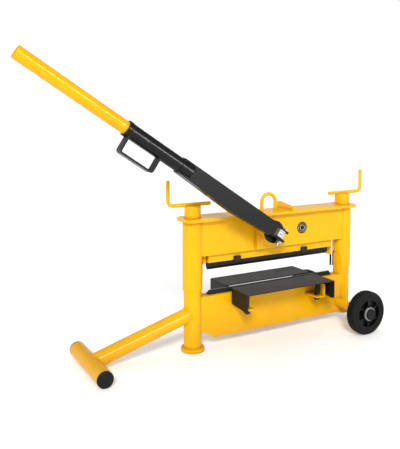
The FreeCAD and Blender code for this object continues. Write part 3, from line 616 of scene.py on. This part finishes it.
def scale_ticks(bm):
    low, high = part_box("gap_scale")
    height, index = low.z + 6 * MM, 0
    while height < high.z - 2 * MM:
        reach = 4.2 * MM if index % 5 == 0 else 2.4 * MM
        swept(bm, line((low.x + 0.3 * MM, low.y, height), (low.x + reach, low.y, height), 1 * MM),
              0.35 * MM, sides=6)
        height, index = height + 10 * MM, index + 1


make("badge_plate", "bridge", "black_plastic", badge_plate)
marks = make("badge_marks", "bridge", "black_plastic", badge_marks)
coat(marks, pale_ink)
ticks = make("scale_ticks", "bridge", "black_plastic", scale_ticks)
coat(ticks, pale_ink)
print("badge at", [round(v, 4) for v in badge_at])

# %% [markdown]
# ## Lever details
# The socket is welded between the arm's flanges and the flat-bar grab handle is
# welded under it. Everything here leans with the lever, so a short function turns a
# distance along the lever and a height off its axis into a place on the machine.

# %% Lever details
slide = next(j for j in frame["joints"] if j["name"] == "handle_slide")
out_along = Vector(slide["axis"]).normalized()
off_axis = Vector((out_along.z, 0, -out_along.x))
tube_y = (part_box("lever_socket")[0].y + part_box("lever_socket")[1].y) / 2
socket_radius = 18.8 * MM
# Distances along the lever from its pivot, in mm.
ARM_END = 355.5
GRAB_FEET = (411, 416, 506, 511)
FLANGE_BEAD = (322, 354)


def on_lever(far, y, up):
    """A place on the lever: far from the pivot, y across, up from its axis, in mm."""
    return Vector((pivot.x, y * MM, pivot.z)) + out_along * far * MM + off_axis * up * MM


def lever_welds(bm):
    middle_y = tube_y / MM
    swept(bm, circle(on_lever(ARM_END, middle_y, 0), out_along, socket_radius + 0.4 * MM), 1.7 * MM, True,
          SCALES)
    for far in GRAB_FEET:
        y_span = [-12.5 + 25 * k / 24 for k in range(25)]
        points = [on_lever(far, middle_y + y,
                           -math.sqrt((socket_radius / MM) ** 2 - y * y) - 0.3) for y in y_span]
        swept(bm, points, 1.4 * MM, ripple=SCALES)
    for up in (-19 * 0.86, 19 * 0.86):
        start, end = (on_lever(far, -103.2, up) for far in FLANGE_BEAD)
        swept(bm, line(start, end), 1.5 * MM, ripple=SCALES)


make("welds_lever", "lever", "black_powder_coat", lever_welds)
print("lever angle", round(math.degrees(math.atan2(out_along.z, -out_along.x)), 2), "degrees")

# %% [markdown]
# ## Crank welds
# Each crank rod lies in a groove on top of its round hub, with a bead down each side.


# %% Crank welds
def crank_welds(post):
    def build(bm):
        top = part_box("right_crank_hub")[1].z
        reach, beside_rod = 18 * MM, 4.6 * MM
        for y in (-beside_rod, beside_rod):
            swept(bm, line((post.x - reach, y, top), (post.x + reach, y, top)), 1.3 * MM, ripple=SCALES)
    return build


make("welds_left_crank", "left_crank", "yellow_powder_coat", crank_welds(left_post))
make("welds_right_crank", "right_crank", "yellow_powder_coat", crank_welds(right_post))

# %% [markdown]
# ## Threads and washers
# Studs and the clamp bolt show a few turns of thread past their nuts. A thread is a
# small ridge wound on the shank: 1.5 mm pitch on an M10 stud, 1.25 mm on an M8 bolt.


# %% Threads and washers
def thread(bm, bottom, axis, radius, length, pitch):
    """A helical ridge wound about an axis from bottom."""
    axis = Vector(axis).normalized()
    side = axis.orthogonal().normalized()
    up = axis.cross(side)
    steps = max(12, int(24 * length / pitch))
    points = []
    for i in range(steps + 1):
        a = 2 * math.pi * i * length / pitch / steps
        points.append(Vector(bottom) + axis * length * i / steps + radius * (math.cos(a) * side + math.sin(a) * up))
    swept(bm, points, 0.35 * pitch, sides=5)


def washer(bm, centre, axis, bore, outer, thick):
    """A flat washer with eased edges."""
    ease = 0.25 * thick
    turned(bm, [(bore, 0), (outer - ease, 0), (outer, ease), (outer, thick - ease), (outer - ease, thick),
                (bore, thick), (bore, 0)], centre, axis)


NUT_HALF = 9.24 * MM      # from the end of the studs' box to a stud's axis


def stud_threads(table):
    def build(bm):
        low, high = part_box(table + "_studs")
        y = (low.y + high.y) / 2
        for x in (low.x + NUT_HALF, high.x - NUT_HALF):
            thread(bm, (x, y, low.z + 0.6 * MM), (0, 0, 1), 4.9 * MM, 5 * MM, 1.5 * MM)
            washer(bm, (x, y, high.z - 1.8 * MM), (0, 0, 1), 5.0 * MM, 9.5 * MM, 1.5 * MM)
    return build


make("front_stud_threads", "front_table", "bare_steel", stud_threads("front_table"))
make("rear_stud_threads", "rear_table", "bare_steel", stud_threads("rear_table"))


# %% [markdown]
# ## Table springs
# Each table stands on two springs of 2.8 mm wire, coiled cold round a mandrel and
# blackened. They are wound again here as coils riding on the base in place of the
# imported springs, and the table's travel is worked out.

# %% Table springs
SPRING_WIRE, SPRING_TURNS = 1.4 * MM, 7


def table_springs(side):
    """Two coils of one table; returns the table's travel."""
    node = side + "_table_springs"
    low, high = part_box(node)
    y, mean = (low.y + high.y) / 2, (high.y - low.y) / 2 - SPRING_WIRE

    def build(bm):
        bottom, rise = low.z + SPRING_WIRE, high.z - low.z - 2 * SPRING_WIRE
        steps = 36 * SPRING_TURNS
        for x in (low.x + mean + SPRING_WIRE, high.x - mean - SPRING_WIRE):
            angles = [2 * math.pi * SPRING_TURNS * i / steps for i in range(steps + 1)]
            coil = [Vector((x + mean * math.cos(a), y + mean * math.sin(a),
                            bottom + rise * i / steps)) for i, a in enumerate(angles)]
            swept(bm, coil, SPRING_WIRE, sides=12)

    piece = make(side + "_table_coils", "base", "black_fasteners", build)
    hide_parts(node)
    press = next(j for j in frame["joints"] if j["name"] == side + "_table_press")
    travel = max(abs(limit) for limit in press["range_m"])
    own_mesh(piece)
    return round(travel, 4)


print("springs shorten by", table_springs("front"), "and", table_springs("rear"))


# %% Clamp bolt thread and shaft end
def clamp_thread(bm):
    """Thread on the end of the clamp bolt, past its nut."""
    y = (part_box("clamp_bolt")[0].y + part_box("clamp_bolt")[1].y) / 2 / MM
    thread(bm, on_lever(-17.5, y, -23), off_axis * -1, 3.9 * MM, 6.4 * MM, 1.25 * MM)


make("clamp_bolt_thread", "lever", "bare_steel", clamp_thread)
square_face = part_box("eccentric_shaft")[0].y


def shaft_centre(bm):
    turned(bm, [(4.2 * MM, 0.05 * MM), (4.9 * MM, 0.25 * MM), (5.4 * MM, 0.05 * MM)],
           (pivot.x, square_face, pivot.z), (0, -1, 0), 40)


make("shaft_centre_ring", "lever", "bare_steel", shaft_centre)
print("square shaft end at y", round(square_face, 4))

# %% [markdown]
# ## Wheel details
# A solid tyre keeps raised lines from its mould: two rings on each sidewall and
# three round the tread.


# %% Wheel details
def wheel_rings(side):
    def build(bm):
        hub = middle(side + "_wheel_tyre")
        low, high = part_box(side + "_wheel_tyre")
        tread = (high.x - low.x) / 2 - 0.5 * MM
        for y in (low.y, high.y):
            for radius in (46.5, 51.0):
                swept(bm, circle((hub.x, y, hub.z), (0, 1, 0), radius * MM, 120), 0.55 * MM, True, sides=6)
        for y in (low.y + 9.5 * MM, hub.y, high.y - 9.5 * MM):
            swept(bm, circle((hub.x, y, hub.z), (0, 1, 0), tread, 140), 0.5 * MM, True, sides=6)
    return build


for side in ("front", "rear"):
    make(side + "_tyre_lines", side + "_wheel", "tyre_rubber", wheel_rings(side))

# %% [markdown]
# ## Studio
# The floor is one pale translucent sheet, lit from behind and as white as the sky at
# its edge, so no horizon shows. A soft light from the upper left front models the steel, a
# weaker one comes from above, and a band of white round the horizon, as a ring of
# screens would give, fills the rest and leaves the sky overhead darker. A thin strip
# light adds the bright streaks on the tubes.

# %% Backdrop
paper, sheet_skin = material("studio_paper")
place = add(paper, "ShaderNodeTexCoord").outputs["Object"]
fibre = add(paper, "ShaderNodeTexNoise", {"Scale": 1 / (40 * MM), "Detail": 3.0}, {"Vector": place})
gloss = add(paper, "ShaderNodeMapRange", {"To Min": 0.85, "To Max": 0.95}, {"Value": fibre.outputs["Fac"]})
join(paper, gloss.outputs["Result"], sheet_skin.inputs["Roughness"])
sheet_skin.inputs["Base Color"].default_value = colour("#FBFBFB")
sheet_skin.inputs["Specular IOR Level"].default_value = 0.0
# The sheet is translucent and lit from behind, so shadows stay faint and no horizon shows.
sheet_skin.inputs["Emission Color"].default_value = colour("#FFFFFF")
sheet_skin.inputs["Emission Strength"].default_value = 0.16

bm = bmesh.new()
bmesh.ops.create_circle(bm, cap_ends=True, radius=30, segments=96)
sheet_mesh = bpy.data.meshes.new("studio_floor")
bm.to_mesh(sheet_mesh)
bm.free()
floor = bpy.data.objects.new("studio_floor", sheet_mesh)
bpy.context.scene.collection.objects.link(floor)
floor.data.materials.append(paper)

world = bpy.data.worlds.new("pale_studio")
bpy.context.scene.world = world
world.use_nodes = True
sky = world.node_tree.nodes["Background"]
sky.inputs["Color"].default_value = colour("#FFFFFF")
way = add(world, "ShaderNodeTexCoord").outputs["Generated"]
rise = add(world, "ShaderNodeSeparateXYZ", wires={"Vector": way}).outputs["Z"]
glow = add(world, "ShaderNodeMapRange", {"From Min": 0.2, "From Max": 0.4, "To Min": 1.0, "To Max": 0.3},
           {"Value": rise})
join(world, glow.outputs["Result"], sky.inputs["Strength"])
print("floor and world are set")


# %% Lights
def far_light(name, comes_from, strength, spread):
    """A distant light with soft edges, aimed from a direction."""
    lamp = bpy.data.lights.new(name, "SUN")
    lamp.energy, lamp.angle = strength, math.radians(spread)
    holder = bpy.data.objects.new(name, lamp)
    bpy.context.scene.collection.objects.link(holder)
    holder.location = Vector(comes_from) * 3
    holder.rotation_euler = Vector(comes_from).to_track_quat("Z", "Y").to_euler()
    return holder


far_light("key_upper_left", (-0.5, -0.75, 0.62), 2.4, 14)
far_light("top", (0.1, 0.15, 1.0), 0.55, 60)
strip = bpy.data.lights.new("streak_strip", "AREA")
strip.shape, strip.size, strip.size_y, strip.energy = "RECTANGLE", 3.0, 0.08, 70
holder = bpy.data.objects.new("streak_strip", strip)
bpy.context.scene.collection.objects.link(holder)
# It hangs in front and leans with the lever, so that its image runs down the lever's
# tubes as one streak. It is left out of the matt light, which the key light gives.
holder.location = (-0.15, -1.92, 1.33)
aim = on_lever(900, tube_y / MM, 0)
facing = (holder.location - aim).normalized()
long_way = (out_along - facing * out_along.dot(facing)).normalized()
holder.rotation_euler = Matrix((long_way, facing.cross(long_way), facing)).transposed().to_euler()
holder.visible_diffuse = False
print("lights are set")

# %% [markdown]
# ## Camera
# The lens stands at about handle height, a little to the left of the machine's front.

# %% Camera
lens = bpy.data.cameras.new("studio_camera")
lens.sensor_width, lens.lens = 36.0, 48.07
lens.shift_x, lens.shift_y = 0.0, -0.150
lens.dof.use_dof = False
camera = bpy.data.objects.new("studio_camera", lens)
bpy.context.scene.collection.objects.link(camera)
camera.location = (-1.0088, -1.3898, 0.6315)
camera.rotation_euler = (math.radians(86), 0, math.radians(-29))
bpy.context.scene.camera = camera
bpy.context.scene.view_settings.view_transform = "Standard"
print("camera at", [round(v, 3) for v in camera.location])
